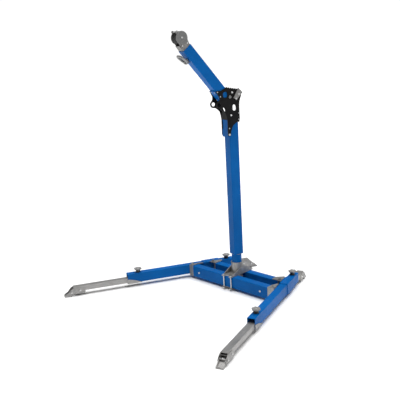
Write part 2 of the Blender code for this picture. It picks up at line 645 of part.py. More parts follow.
def make_elbow(parent):
    spacing = TUBE_SIZE / 2 + GAP + ELBOW_PLATE / 2
    holes = [
        circle(-EYE[0], EYE[1], EYE_BORE, 16),
        circle(-ELBOW_PIVOT[0], ELBOW_PIVOT[1], ELBOW_PIVOT_RADIUS + GAP, 20),
        slot(-0.068, 1.4995, -0.068, 1.5065, 0.0195),
        slot(0.004, 1.413, 0.006, 1.396, 0.0145),
    ]
    for ahead, height in (STOP_BOLT, MIDDLE_BOLT, LOWER_BOLT):
        holes.append(circle(-ahead, height, BOLT_RADIUS + GAP, 16))
    right_throat = [(0.056, 1.318), (0.063, 1.340), (0.073, 1.366), (0.089, 1.381), (0.104, 1.395)]
    right = [elbow_outline(0.117, 0.050, right_throat)] + holes + [slot(-0.0855, 1.4075, -0.0775, 1.390, 0.0055)]
    prism("right_elbow_plate", right, ELBOW_PLATE, "X", BLACK, parent, (spacing, 0, 0))
    left_throat = [(0.0565, 1.318), (0.061, 1.345), (0.069, 1.376), (0.084, 1.391), (0.101, 1.403)]
    left = [elbow_outline(0.1265, 0.0455, left_throat)] + holes + [slot(-0.035, 1.400, -0.024, 1.377, 0.0065)]
    prism("left_elbow_plate", left, ELBOW_PLATE, "X", BLACK, parent, (-spacing, 0, 0))

    grip = 2 * (spacing + ELBOW_PLATE / 2 + GAP)
    bolts = (("arm_stop_bolt", STOP_BOLT), ("elbow_middle_bolt", MIDDLE_BOLT), ("elbow_lower_bolt", LOWER_BOLT))
    for name, (ahead, height) in bolts:
        through_bolt(name, BOLT_RADIUS, grip, 0.0075, 0.005, "X", STEEL, parent, (0, -ahead, height))
    through_bolt("arm_pivot_bolt", ELBOW_PIVOT_RADIUS, grip, 0.0115, 0.006, "X", STEEL, parent,
                 (0, -ELBOW_PIVOT[0], ELBOW_PIVOT[1]), 20)

    front = TUBE_SIZE / 2 + GAP
    face = front + CHANNEL_DEPTH
    half = TUBE_SIZE / 2
    wall = 0.004
    section = [(-half, -front), (-half, -face), (half, -face), (half, -front), (half - wall, -front),
               (half - wall, -face + wall), (-half + wall, -face + wall), (-half + wall, -front)]
    height = CHANNEL_TOP - CHANNEL_BOTTOM
    channel = prism("mast_front_channel", [section], height, "Z", BLUE, parent,
                    (0, 0, (CHANNEL_TOP + CHANNEL_BOTTOM) / 2))
    bolt_hole = cylinder("channel_bolt_hole", BOLT_RADIUS + GAP, 0.12, "X", None, parent,
                         (0, -LOWER_BOLT[0], LOWER_BOLT[1]), 16)
    combine(channel, [bolt_hole], "DIFFERENCE")
    lip_width, lip_bottom = BRIDGE_LIP
    bridge = [(-half, BRIDGE_TOP), (-half, lip_bottom), (lip_width - half, lip_bottom),
              (lip_width - half, BRIDGE_BOTTOM), (half, BRIDGE_BOTTOM), (half, BRIDGE_TOP)]
    prism("elbow_bridge", [bridge], BRIDGE_THICKNESS, "Y", BLACK, parent,
          (0, -face - GAP - BRIDGE_THICKNESS / 2, 0))
    prism("elbow_side_strap", [STRAP], STRAP_THICKNESS, "X", ALLOY, parent,
          (spacing + (ELBOW_PLATE + STRAP_THICKNESS) / 2 + GAP, 0, 0))


def make_mast(stand):
    axis = empty("mast_axis", stand, (0, 0, 0), (0, 0, MAST_TURN))
    inner = TUBE_SIZE - 2 * TUBE_WALL
    spigot_height = MAST_BOTTOM - GAP - SPIGOT_BOTTOM
    spigot = cylinder("mast_spigot", SPIGOT_RADIUS, spigot_height, "Z", BLUE, axis,
                      (0, 0, SPIGOT_BOTTOM + spigot_height / 2), 38)
    plug_size = inner - 2 * GAP
    plug_start = MAST_BOTTOM - GAP - 0.0005
    plug = box("spigot_plug", (plug_size, plug_size, PLUG_LENGTH), None, axis,
               (0, 0, plug_start + PLUG_LENGTH / 2))
    bore = cylinder("spigot_bore", SPIGOT_BORE, 1.0, "Z", None, axis, (0, 0, 0.3), 24)
    combine(spigot, [plug], "UNION")
    combine(spigot, [bore], "DIFFERENCE")

    height = MAST_TOP - MAST_BOTTOM
    loops = [rounded(TUBE_SIZE, TUBE_SIZE, TUBE_CORNER, 4), rectangle(inner, inner)]
    mast = prism("mast_tube", loops, height, "Z", BLUE, axis, (0, 0, MAST_BOTTOM + height / 2))
    hole = cylinder("mast_bolt_hole", BOLT_RADIUS + GAP, 0.12, "X", None, axis,
                    (0, -MIDDLE_BOLT[0], MIDDLE_BOLT[1]), 16)
    combine(mast, [hole], "DIFFERENCE")
    make_elbow(axis)
    make_arm(axis)


def sheave_profile():
    half = SHEAVE_WIDTH / 2
    rim = SHEAVE_RADIUS
    bore = AXLE_RADIUS + 0.0004
    bevel = 0.0015
    groove = arc(rim, 0, SHEAVE_GROOVE, 90, 270, 6)
    top = [(bore, half), (rim - bevel, half), (rim, half - bevel)]
    bottom = [(rim, bevel - half), (rim - bevel, -half), (bore, -half)]
    return top + groove + bottom


def make_head(arm):
    inner = TUBE_SIZE / 2 - TUBE_WALL
    plate_x = inner - GAP - HEAD_PLATE / 2
    low = ARM_OFFSET - inner + GAP
    high = ARM_OFFSET + inner - GAP
    cy, cz = HEAD_AXLE
    outline = [(low, HEAD_ROOT), (high, HEAD_ROOT), (high, ARM_END + 0.012)]
    outline += arc(cy, cz, HEAD_RADIUS, -20, 72, 8)
    outline += arc(cy, cz + KEEPER_REACH, 0.0085, 20, 160, 6)
    outline += arc(cy, cz, HEAD_RADIUS, 108, 188, 7)
    outline += [(low, ARM_END + 0.008)]
    holes = [circle(cy, cz, AXLE_RADIUS + GAP, 20), circle(cy, cz + KEEPER_REACH, KEEPER_RADIUS + GAP, 12)]
    for side, label in ((-1, "left"), (1, "right")):
        plate = prism(f"{label}_head_plate", [outline] + holes, HEAD_PLATE, "X", ALLOY, arm,
                      (side * plate_x, 0, 0))
        if label == "left":
            left_plate = plate
        turned(f"{label}_head_sheave", sheave_profile(), "X", BLACK, arm,
               (side * (SHEAVE_WIDTH / 2 + 0.0022), cy, cz), 28, closed=True)
    web_width = 2 * plate_x - HEAD_PLATE / 2 - GAP
    web = box("head_web_shape", (web_width, WEB_THICKNESS, WEB_END - HEAD_ROOT), None, arm,
              (-plate_x + web_width / 2, low + WEB_THICKNESS / 2, (WEB_END + HEAD_ROOT) / 2))
    combine(left_plate, [web], "UNION")
    outside = plate_x + HEAD_PLATE / 2 + GAP
    disc = outside + DISC_THICKNESS
    profile = [(0, disc + 0.003), (0.0065, disc + 0.003), (0.0065, disc), (DISC_RADIUS - 0.001, disc),
               (DISC_RADIUS, disc - 0.001), (DISC_RADIUS, outside), (AXLE_RADIUS, outside)]
    profile += [(radius, -height) for radius, height in reversed(profile)]
    turned("head_axle", profile, "X", GREY, arm, (0, cy, cz), 28)
    cylinder("rope_keeper", KEEPER_RADIUS, 2 * (plate_x + HEAD_PLATE / 2 + 0.002), "X", STEEL, arm,
             (0, cy, cz + KEEPER_REACH), 12)


def make_anchor(arm):
    under = ARM_OFFSET - TUBE_SIZE / 2 - GAP
    hy, hz = RING_HINGE
    lug = [(under, hz - 0.020), (under, hz + 0.020)]
    lug += arc(hy, hz, LUG_RADIUS, 90, 270, 8)
    bore = circle(hy, hz, RING_BAR + 0.0005, 16)
    prism("anchor_lug", [lug, bore], 2 * LUG_HALF, "X", ALLOY, arm)

    hinge = empty("anchor_ring_axis", arm, (0, hy, hz), (RING_TILT, 0, 0))
    path = [(x, z + RING_LENGTH / 2) for x, z in rounded(RING_WIDTH, RING_LENGTH, RING_CORNER, 4)]
    curve = bpy.data.curves.new("anchor_ring", "CURVE")
    curve.dimensions = "3D"
    curve.bevel_depth = RING_BAR
    curve.bevel_resolution = 1
    spline = curve.splines.new("POLY")
    spline.points.add(len(path) - 1)
    for point, (x, z) in zip(spline.points, path):
        point.co = (x, 0, z, 1)
    spline.use_cyclic_u = True
    curve.materials.append(STEEL)
    ring = bpy.data.objects.new("anchor_ring", curve)
    ring.parent = hinge
    PARTS.objects.link(ring)


def make_arm(mast):
    location = (0, -ELBOW_PIVOT[0], ELBOW_PIVOT[1])
    arm = empty("arm_axis", mast, location, (math.pi / 2 - ARM_ANGLE, 0, 0))
    inner = TUBE_SIZE - 2 * TUBE_WALL
    length = ARM_END - ARM_START
    loops = [rounded(TUBE_SIZE, TUBE_SIZE, TUBE_CORNER, 4), rectangle(inner, inner)]
    tube = prism("arm_tube", loops, length, "Z", BLUE, arm, (0, ARM_OFFSET, ARM_START + length / 2))
    hole = cylinder("arm_pivot_hole", ELBOW_PIVOT_RADIUS + 0.0004, 0.12, "X", None, arm, (0, 0, 0), 24)
    combine(tube, [hole], "DIFFERENCE")

    under = ARM_OFFSET - TUBE_SIZE / 2 - GAP
    low = under - GUIDE_DEPTH
    inside = GUIDE_HALF - GUIDE_WALL
    section = [(-GUIDE_HALF, under), (-GUIDE_HALF, low), (GUIDE_HALF, low), (GUIDE_HALF, under),
               (inside, under), (inside, low + GUIDE_WALL), (-inside, low + GUIDE_WALL), (-inside, under)]
    prism("arm_root_guide", [section], GUIDE_LENGTH, "Z", BLUE, arm, (0, 0, GUIDE_START + GUIDE_LENGTH / 2))
    make_head(arm)
    make_anchor(arm)


def centre_on_floor(stand):
    """Puts the stand's origin under the middle of everything it is made of."""
    bpy.context.view_layer.update()
    graph = bpy.context.evaluated_depsgraph_get()
    low = Vector((math.inf, math.inf, math.inf))
    high = -low
    for obj in PARTS.objects:
        if obj.type not in {"MESH", "CURVE"}:
            continue
        shown = obj.evaluated_get(graph)
        mesh = shown.to_mesh()
        for vertex in mesh.vertices:
            point = shown.matrix_world @ vertex.co
            low = Vector(map(min, low, point))
            high = Vector(map(max, high, point))
        shown.to_mesh_clear()
    middle = (low + high) / 2
    stand.location = (-middle.x, -middle.y, -low.z)


def main():
    stand = empty("stand", None)
    make_crossbar("front_crossbar", stand, FRONT_BAR_Y, FRONT_BAR_HALF, FRONT_BAR_HALF, True)
    make_crossbar("rear_crossbar", stand, REAR_BAR_Y, REAR_BAR_LEFT, REAR_BAR_RIGHT, False)
    make_socket(stand)
    for label in LEGS:
        make_leg(label, stand)
    make_mast(stand)
    centre_on_floor(stand)
    bpy.context.view_layer.update()


main()
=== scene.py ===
"""Looks for the portable lifting davit: finishes, small hardware, studio and camera."""

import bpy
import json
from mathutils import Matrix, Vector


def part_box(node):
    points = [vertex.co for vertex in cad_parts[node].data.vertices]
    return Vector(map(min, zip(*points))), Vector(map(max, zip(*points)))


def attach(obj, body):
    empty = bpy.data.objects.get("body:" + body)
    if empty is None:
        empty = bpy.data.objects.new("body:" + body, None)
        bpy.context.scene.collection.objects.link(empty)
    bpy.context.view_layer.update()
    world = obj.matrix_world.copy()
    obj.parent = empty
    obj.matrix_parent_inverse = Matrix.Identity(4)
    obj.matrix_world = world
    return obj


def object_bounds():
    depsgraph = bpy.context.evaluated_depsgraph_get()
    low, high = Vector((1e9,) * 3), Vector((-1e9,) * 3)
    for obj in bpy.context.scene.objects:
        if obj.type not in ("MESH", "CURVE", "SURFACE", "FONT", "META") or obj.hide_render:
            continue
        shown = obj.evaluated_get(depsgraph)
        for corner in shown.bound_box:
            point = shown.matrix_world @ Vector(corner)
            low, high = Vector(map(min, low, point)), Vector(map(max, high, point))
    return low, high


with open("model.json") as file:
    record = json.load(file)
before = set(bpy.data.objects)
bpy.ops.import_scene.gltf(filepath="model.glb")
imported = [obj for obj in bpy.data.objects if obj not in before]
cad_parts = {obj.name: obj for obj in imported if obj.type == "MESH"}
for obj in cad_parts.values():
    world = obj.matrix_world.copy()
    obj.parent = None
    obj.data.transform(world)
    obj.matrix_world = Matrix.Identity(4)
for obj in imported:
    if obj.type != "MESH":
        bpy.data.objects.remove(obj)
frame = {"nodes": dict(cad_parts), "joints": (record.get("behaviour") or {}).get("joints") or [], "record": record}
CAD_BOX = [list(corner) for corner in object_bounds()]

import json
import math

import bmesh
import bpy
from mathutils import Matrix, Vector

NODES = frame["nodes"]
JOINTS = {joint["name"]: joint for joint in frame["joints"]}
NODE_SLOT = {entry["node"]: entry["material_slot"] for entry in frame["record"]["subparts"]}
SIDES = ("left", "right")
ENDS = ("front", "rear")
FACES = ((1, "right"), (-1, "left"))

# ---------------------------------------------------------------- sizes, in metres

# Faces that hardware sits on, out from the middle plane of the mast (plates, strap) or the arm (head plates)
PLATE_FACE = 0.0453
STRAP_GAP = 0.0003
STRAP_THICKNESS = 0.008
HEAD_FACE = 0.0347

# The arm: its guide's screws, out from the middle plane and down from the pivot, and the axle below its line
GUIDE_SCREW_X = 0.026
GUIDE_FACE = 0.0642
AXLE_DROP = 0.002

# Hexagon heads and nuts: (width across flats, height)
ELBOW_HEADS = {"arm_stop_bolt": (0.0126, 0.0064), "elbow_middle_bolt": (0.0126, 0.0064),
               "elbow_lower_bolt": (0.0126, 0.0064), "arm_pivot_bolt": (0.0172, 0.0076)}
STRAP_HEAD = (0.0125, 0.0045)
STRAP_SOCKET = 0.0055
AXLE_NUT = (0.0125, 0.0045)
HEAD_PLATE_HEAD = (0.0106, 0.0042)
CLAMP_NUT = (0.0172, 0.0066)
SET_BOLT_HEAD = (0.0122, 0.0060)
BRACKET_HEAD = (0.0122, 0.0050)
HEXAGON_STEPS = 48

# Gaps under the heads and screws, and the washers with how far a head stands up on one
HEAD_GAP = 0.0002
SCREW_GAP = 0.0001
WASHER_THICKNESS = 0.0012
WASHER_SEAT = 0.0011

# Screws on the mast: (ahead of its axis, height)
PLATE_SCREWS = ((-0.0410, 1.3630), (-0.0400, 1.3163), (0.1335, 1.5265), (0.1100, 1.4930), (0.0435, 1.2560))
STRAP_SCREWS = ((-0.0430, 1.5010), (-0.0170, 1.4700))

# Bolts and screws on the arm, from its pivot: (towards its upper side, along it), and along it alone
HEAD_PLATE_BOLTS = ((-0.036, 0.523), (0.006, 0.512))
GUIDE_SCREWS = (0.030, 0.105)

# How far the nuts sit in from the ends of their rods
AXLE_NUT_INSET = 0.0035
CLAMP_NUT_INSET = 0.0075

# The feet: pin caps and bracket bolts, from the toe's pin
PIN_CAP_REACH = 0.0325
BRACKET_BOLT_REACH = 0.0293
BRACKET_BOLT_BACK = 0.068
BRACKET_BOLT_RISE = 0.010

# The knobs, down from their tops: the seam under the star grip, and the seat of the insert
KNOB_GRIP_DEPTH = 0.0101
KNOB_INSERT_SEAT = 0.0006

# Turned shapes: (radius, height)
BUTTON_SCREW = [(0, 0.0032), (0.0024, 0.0031), (0.0044, 0.0021), (0.0052, 0.0), (0, 0)]
PIN_CAP = [(0, 0.0022), (0.0052, 0.0022), (0.0062, 0.0014), (0.0062, 0), (0, 0)]
KNOB_INSERT = [(0, -0.0020), (0.0070, -0.0020), (0.0070, 0.0004), (0.0062, 0.0010), (0.0034, 0.0010),
               (0.0030, -0.0012), (0, -0.0012)]

# Welds: the socket plate's top above the crossbar, the rings' radii, and each cheek's middle, sides and runs
SOCKET_PLATE = 0.0063
SLEEVE_WELD_RADIUS = 0.0465
SPIGOT_WELD_RADIUS = 0.0393
CHEEK_X = 0.0465
CHEEK_FACES = ((-0.0032, "in"), (0.0026, "out"))
CHEEK_RUNS = ((-0.104, -0.030, "front"), (0.030, 0.102, "rear"))
RING_STEPS = 40

# Weld beads: half their width, how far their centres are from the face, and the length of one ripple
SLEEVE_BEAD = 0.0024
SLEEVE_BEAD_RISE = 0.0008
CHEEK_BEAD = 0.0019
CHEEK_BEAD_RISE = 0.0006
SPIGOT_BEAD = 0.0020
SPIGOT_BEAD_DROP = 0.0012
BEAD_PITCH = 0.0032

# Bevels of the visible edges, by material slot
BEVELS = {"blue_tube": 0.0008, "plain_alloy": 0.0009, "black_plate": 0.0008, "bright_steel": 0.0004,
          "grey_steel": 0.0008, "knob_moulding": 0.0012, "sheave_plastic": 0.0006}

# ---------------------------------------------------------------- reference frames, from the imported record

UP = Vector((0, 0, 1))
MAST_FOOT = Vector(JOINTS["mast_swivel"]["pos_m"])
MAST_FOOT.z = 0
RIGHT = Vector(JOINTS["arm_pivot"]["axis"]).normalized()
REARWARD = UP.cross(RIGHT).normalized()


def basis(x, y, z, origin):
    matrix = Matrix((x, y, z)).transposed().to_4x4()
    matrix.translation = origin
    return matrix


MAST = basis(RIGHT, REARWARD, UP, MAST_FOOT)
PIVOT = Vector(JOINTS["arm_pivot"]["pos_m"])
AXLE = Vector(JOINTS["left_sheave_spin"]["pos_m"])
AXLE -= RIGHT * (AXLE - PIVOT).dot(RIGHT)


def arm_frame():
    """+Z along the arm and -Y towards its underside, at the pivot; the axle lies a little below its line."""
    reach = AXLE - PIVOT
    tilt = math.asin(AXLE_DROP / reach.length)
    along = Matrix.Rotation(-tilt, 3, RIGHT) @ reach.normalized()
    return basis(RIGHT, along.cross(RIGHT), along, PIVOT)


ARM = arm_frame()


def lying(direction):
    """The rotation whose local +Z lies along a level direction."""
    return tuple(Vector(direction).to_track_quat("Z", "Y").to_euler())


MAST_TURN = tuple(MAST.to_euler())
ARM_TURN = tuple(ARM.to_euler())
BAR_TURN = lying((1, 0, 0))
LEG_TURN = {side: lying(JOINTS[f"{side}_front_extension_slide"]["axis"]) for side in SIDES}

# ---------------------------------------------------------------- materials


class Nodes:
    """A short way to write a node tree for one Principled material in row coordinates."""

    def __init__(self, name, roughness, metallic=0.0, specular=0.5):
        self.material = bpy.data.materials.new(name)
        self.material.use_nodes = True
        self.tree = self.material.node_tree
        self.shader = self.tree.nodes["Principled BSDF"]
        self.shader.inputs["Metallic"].default_value = metallic
        self.shader.inputs["Specular IOR Level"].default_value = specular
        self.shader.inputs["Roughness"].default_value = roughness
        self.coords = self.new("ShaderNodeTexCoord").outputs["Object"]

    def new(self, kind, **values):
        node = self.tree.nodes.new(kind)
        for key, value in values.items():
            setattr(node, key, value)
        return node

    def link(self, source, target):
        self.tree.links.new(source, target)

    def mapped(self, rotation, scale):
        """Row coordinates turned into a piece's own axes, then stretched: scale is per metre on each axis."""
        node = self.new("ShaderNodeMapping", vector_type="TEXTURE")
        node.inputs["Rotation"].default_value = rotation
        node.inputs["Scale"].default_value = tuple(1 / value for value in scale)
        self.link(self.coords, node.inputs["Vector"])
        return node.outputs["Vector"]

    def noise(self, scale, detail=4.0, rough=0.5, vector=None, distortion=0.0):
        node = self.new("ShaderNodeTexNoise")
        node.inputs["Scale"].default_value = scale
        node.inputs["Detail"].default_value = detail
        node.inputs["Roughness"].default_value = rough
        node.inputs["Distortion"].default_value = distortion
        self.link(vector or self.coords, node.inputs["Vector"])
        return node.outputs["Fac"]

    def ramp(self, value, low, high, start=0.0, end=1.0):
        node = self.new("ShaderNodeMapRange")
        node.inputs["From Min"].default_value = low
        node.inputs["From Max"].default_value = high
        node.inputs["To Min"].default_value = start
        node.inputs["To Max"].default_value = end
        self.link(value, node.inputs["Value"])
        return node.outputs["Result"]

    def mix(self, factor, a, b):
        """A blend of two colours; sockets 6, 7 and 2 are the Mix node's colour inputs and output."""
        node = self.new("ShaderNodeMix", data_type="RGBA")
        self.link(factor, node.inputs["Factor"])
        for socket, value in ((node.inputs[6], a), (node.inputs[7], b)):
            if isinstance(value, tuple):
                socket.default_value = (*value, 1.0)
            else:
                self.link(value, socket)
        return node.outputs[2]

    def bump(self, height, distance, strength, under=None):
        node = self.new("ShaderNodeBump")
        node.inputs["Strength"].default_value = strength
        node.inputs["Distance"].default_value = distance
        self.link(height, node.inputs["Height"])
        if under:
            self.link(under, node.inputs["Normal"])
        return node.outputs["Normal"]

    def finish(self, color, roughness=None, normal=None):
        self.link(color, self.shader.inputs["Base Color"])
        if roughness:
            self.link(roughness, self.shader.inputs["Roughness"])
        if normal:
            self.link(normal, self.shader.inputs["Normal"])
        return self.material


def blue_finish(name, rotation):
    """Satin blue powder coat over extrusion: orange peel, cloudy tone, and a few pale rubs along the tube."""
    t = Nodes(name, 0.38, specular=0.06)
    tone = t.ramp(t.noise(5.0, 3.0), 0.35, 0.68)
    base = t.mix(tone, (0.0004, 0.086, 0.306), (0.0010, 0.106, 0.370))
    streaks = t.noise(9.0, 7.0, 0.62, t.mapped(rotation, (26, 26, 3.0)))
    rubs = t.ramp(streaks, 0.665, 0.74, 0.0, 0.42)
    specks = t.ramp(t.noise(420.0, 2.0, 0.5), 0.70, 0.78, 0.0, 0.25)
    color = t.mix(rubs, base, (0.035, 0.165, 0.470))
    color = t.mix(specks, color, (0.001, 0.060, 0.260))
    rough = t.ramp(t.noise(38.0, 5.0, 0.6), 0.3, 0.72, 0.30, 0.44)
    peel = t.bump(t.noise(640.0, 2.0, 0.45), 0.00016, 0.35)
    return t.finish(color, rough, t.bump(streaks, 0.0002, 0.20, peel))


def alloy_finish(name, rotation=(0, 0, 0), tone=1.0, grain=(90, 90, 2.2), cast=False):
    """Plain alloy: drawn lines on an extrusion, or a fine pebble on a casting, with dull handling marks."""
    t = Nodes(name, 0.42, metallic=0.62)
    lines = t.noise(7.0, 6.0, 0.6, t.mapped(rotation, grain))
    cloud = t.noise(14.0, 4.0, 0.55)
    light = (0.385 * tone, 0.378 * tone, 0.369 * tone)
    dark = (0.250 * tone, 0.246 * tone, 0.241 * tone)
    mark = (0.180 * tone, 0.178 * tone, 0.176 * tone)
    base = t.mix(t.ramp(lines, 0.32, 0.70), dark, light)
    color = t.mix(t.ramp(cloud, 0.52, 0.74, 0.0, 0.45), base, mark)
    rough = t.ramp(cloud, 0.3, 0.7, 0.34, 0.52)
    if cast:
        return t.finish(color, rough, t.bump(t.noise(520.0, 3.0, 0.6), 0.0003, 0.45))
    return t.finish(color, rough, t.bump(lines, 0.0002, 0.30))


def black_finish(name):
    """Satin black coating with a fine texture and grey wear in patches."""
    t = Nodes(name, 0.45, specular=0.12)
    wear = t.ramp(t.noise(60.0, 8.0, 0.7), 0.67, 0.77, 0.0, 0.40)
    tone = t.ramp(t.noise(18.0, 3.0), 0.35, 0.7)
    base = t.mix(tone, (0.0022, 0.0020, 0.0020), (0.0060, 0.0054, 0.0054))
    color = t.mix(wear, base, (0.045, 0.043, 0.041))
    rough = t.ramp(t.noise(110.0, 4.0), 0.3, 0.7, 0.34, 0.56)
    return t.finish(color, rough, t.bump(t.noise(780.0, 2.0), 0.0002, 0.4))


def steel_finish(name, tone=0.62, metallic=1.0, low=0.22, high=0.38):
    """Zinc or turned steel: fine turned grain, cloudy passivation and a few dark specks."""
    t = Nodes(name, 0.3, metallic=metallic)
    cloud = t.noise(160.0, 4.0, 0.55)
    shade = (tone * 0.74, tone * 0.75, tone * 0.76)
    color = t.mix(t.ramp(cloud, 0.3, 0.7), shade, (tone, tone, tone * 0.98))
    speck = t.ramp(t.noise(900.0, 2.0), 0.70, 0.80, 0.0, 0.6)
    color = t.mix(speck, color, (0.12, 0.11, 0.10))
    return t.finish(color, t.ramp(cloud, 0.3, 0.7, low, high), t.bump(t.noise(1400.0, 3.0), 0.00006, 0.4))


def moulded_finish(name, tone, rough):
    """Moulded plastic: fine spark texture and faint flow marks."""
    t = Nodes(name, rough, specular=0.4)
    flow = t.ramp(t.noise(45.0, 3.0, distortion=0.8), 0.3, 0.7)
    dark = tuple(0.78 * value for value in tone)
    pale = tuple(min(1.0, 1.7 * value + 0.02) for value in tone)
    scuff = t.ramp(t.noise(210.0, 6.0, 0.7), 0.64, 0.74, 0.0, 0.35)
    color = t.mix(scuff, t.mix(flow, dark, tone), pale)
    gloss = t.ramp(flow, 0.0, 1.0, rough - 0.07, rough + 0.07)
    return t.finish(color, gloss, t.bump(t.noise(1500.0, 2.0), 0.0001, 0.5))


def knob_finish(name, seam_z):
    """A grey star grip moulded over a black hub; the seam height comes from the CAD knob."""
    t = Nodes(name, 0.48, specular=0.4)
    split = t.new("ShaderNodeSeparateXYZ")
    t.link(t.coords, split.inputs["Vector"])
    above = t.new("ShaderNodeMath", operation="GREATER_THAN")
    above.inputs[1].default_value = seam_z
    t.link(split.outputs["Z"], above.inputs[0])
    cloud = t.ramp(t.noise(90.0, 4.0, 0.6), 0.35, 0.7)
    grip = t.mix(cloud, (0.190, 0.188, 0.185), (0.265, 0.262, 0.258))
    hub = t.mix(cloud, (0.008, 0.008, 0.008), (0.018, 0.018, 0.018))
    rough = t.ramp(t.noise(150.0, 4.0), 0.3, 0.7, 0.40, 0.56)
    color = t.mix(above.outputs[0], hub, grip)
    return t.finish(color, rough, t.bump(t.noise(1300.0, 2.0), 0.0001, 0.5))


MATERIALS = {
    "blue_mast": blue_finish("blue_coat_mast", MAST_TURN),
    "blue_arm": blue_finish("blue_coat_arm", ARM_TURN),
    "blue_bar": blue_finish("blue_coat_crossbar", BAR_TURN),
    "blue_left": blue_finish("blue_coat_left_leg", LEG_TURN["left"]),
    "blue_right": blue_finish("blue_coat_right_leg", LEG_TURN["right"]),
    "alloy_left": alloy_finish("drawn_alloy_left", LEG_TURN["left"]),
    "alloy_right": alloy_finish("drawn_alloy_right", LEG_TURN["right"]),
    "alloy_cast": alloy_finish("cast_alloy", tone=0.92, grain=(6, 6, 6), cast=True),
    "alloy_plate": alloy_finish("plate_alloy", tone=0.95, grain=(12, 12, 3)),
    "black": black_finish("black_coat"),
    "steel": steel_finish("bright_zinc"),
    "dull": steel_finish("dull_grey_steel", 0.19, 0.45, 0.38, 0.54),
    "worn": steel_finish("worn_steel", 0.30, 0.70, 0.32, 0.48),
    # A darker copy of the plate alloy: its lower tone is painted shade for plates that sit in shade
    "alloy_painted_shade": alloy_finish("plate_alloy_painted_shade", tone=0.66, grain=(12, 12, 3)),
    "sheave": moulded_finish("black_sheave_moulding", (0.016, 0.016, 0.016), 0.45),
    "nylon": moulded_finish("natural_nylon", (0.70, 0.68, 0.61), 0.5),
    "weld": alloy_finish("weld_alloy", tone=0.85, grain=(20, 20, 20), cast=True),
}
# The side strap, anchor lug and head plates take the darker copy of the plate alloy, which is painted shade
OWN_LOOKS = {"arm_pivot_bolt": "dull", "anchor_ring": "worn", "elbow_side_strap": "alloy_painted_shade",
             "anchor_lug": "alloy_painted_shade", "left_head_plate": "alloy_painted_shade", "right_head_plate": "alloy_painted_shade"}
SLOT_LOOKS = {"black_plate": "black", "bright_steel": "steel", "grey_steel": "dull",
              "sheave_plastic": "sheave", "bush_nylon": "nylon"}


def blue_look(name, side):
    if "leg" in name:
        return "blue_" + side
    if name.startswith("arm"):
        return "blue_arm"
    return "blue_bar" if "crossbar" in name else "blue_mast"


def alloy_look(name, side):
    if "extension" in name:
        return "alloy_" + side
    cast = any(word in name for word in ("bracket", "toe", "shoe"))
    return "alloy_cast" if cast else "alloy_plate"


def material_for(name):
    slot = NODE_SLOT[name]
    side = "left" if name.startswith("left") else "right"
    if slot == "knob_moulding":
        return knob_finish("star_" + name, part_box(name)[1].z - KNOB_GRIP_DEPTH)
    if name in OWN_LOOKS:
        return MATERIALS[OWN_LOOKS[name]]
    if slot == "blue_tube":
        return MATERIALS[blue_look(name, side)]
    if slot == "plain_alloy":
        return MATERIALS[alloy_look(name, side)]
    return MATERIALS[SLOT_LOOKS[slot]]


# ---------------------------------------------------------------- edges of the CAD pieces


def smoothing(limit):
    """Shades everything smooth but the edges that turn by more than the limit, leaving the mesh alone."""
    group = bpy.data.node_groups.new("smooth_by_angle", "GeometryNodeTree")
    group.interface.new_socket("Geometry", in_out="INPUT", socket_type="NodeSocketGeometry")
    group.interface.new_socket("Geometry", in_out="OUTPUT", socket_type="NodeSocketGeometry")
    start = group.nodes.new("NodeGroupInput")
    end = group.nodes.new("NodeGroupOutput")
    faces = group.nodes.new("GeometryNodeSetShadeSmooth")
    edges = group.nodes.new("GeometryNodeSetShadeSmooth")
    edges.domain = "EDGE"
    edges.inputs["Shade Smooth"].default_value = False
    turn = group.nodes.new("GeometryNodeInputMeshEdgeAngle")
    sharp = group.nodes.new("FunctionNodeCompare")
    sharp.operation = "GREATER_THAN"
    sharp.inputs[1].default_value = limit
    group.links.new(turn.outputs["Unsigned Angle"], sharp.inputs[0])
    group.links.new(sharp.outputs[0], edges.inputs["Selection"])
    group.links.new(start.outputs[0], faces.inputs["Geometry"])
    group.links.new(faces.outputs[0], edges.inputs["Geometry"])
    group.links.new(edges.outputs[0], end.inputs[0])
    return group


SMOOTH = smoothing(math.radians(36))


def soften(node, width):
    """A small bevel on the edges, with the facets of round faces shaded smooth."""
    weld = node.modifiers.new("weld", "WELD")
    weld.merge_threshold = 0.000002
    bevel = node.modifiers.new("edge", "BEVEL")
    bevel.width = width
    bevel.segments = 2
    bevel.limit_method = "ANGLE"
    bevel.angle_limit = math.radians(40)
    bevel.harden_normals = False
    bevel.use_clamp_overlap = True
    shade = node.modifiers.new("smooth", "NODES")
    shade.node_group = SMOOTH
    normals = node.modifiers.new("normals", "WEIGHTED_NORMAL")
    normals.keep_sharp = True


for node_name, node in NODES.items():
    node.data.materials.clear()
    node.data.materials.append(material_for(node_name))
    if NODE_SLOT[node_name] in BEVELS:
        soften(node, BEVELS[NODE_SLOT[node_name]])

# ---------------------------------------------------------------- shapes of the small hardware


def piece(name, mesh, matrix, body, material, sharp=30):
    """A mesh put in place, shaded smooth but for edges over the sharp angle, that rides on a body."""
    obj = bpy.data.objects.new(name, mesh)
    bpy.context.scene.collection.objects.link(obj)
    mesh.transform(matrix)
    mesh.materials.append(material)
    mesh.shade_smooth()
    mesh.set_sharp_from_angle(angle=math.radians(sharp))
    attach(obj, body)


def closed_mesh(name, bm):
    bmesh.ops.recalc_face_normals(bm, faces=bm.faces)
    mesh = bpy.data.meshes.new(name)
    bm.to_mesh(mesh)
    bm.free()
    return mesh


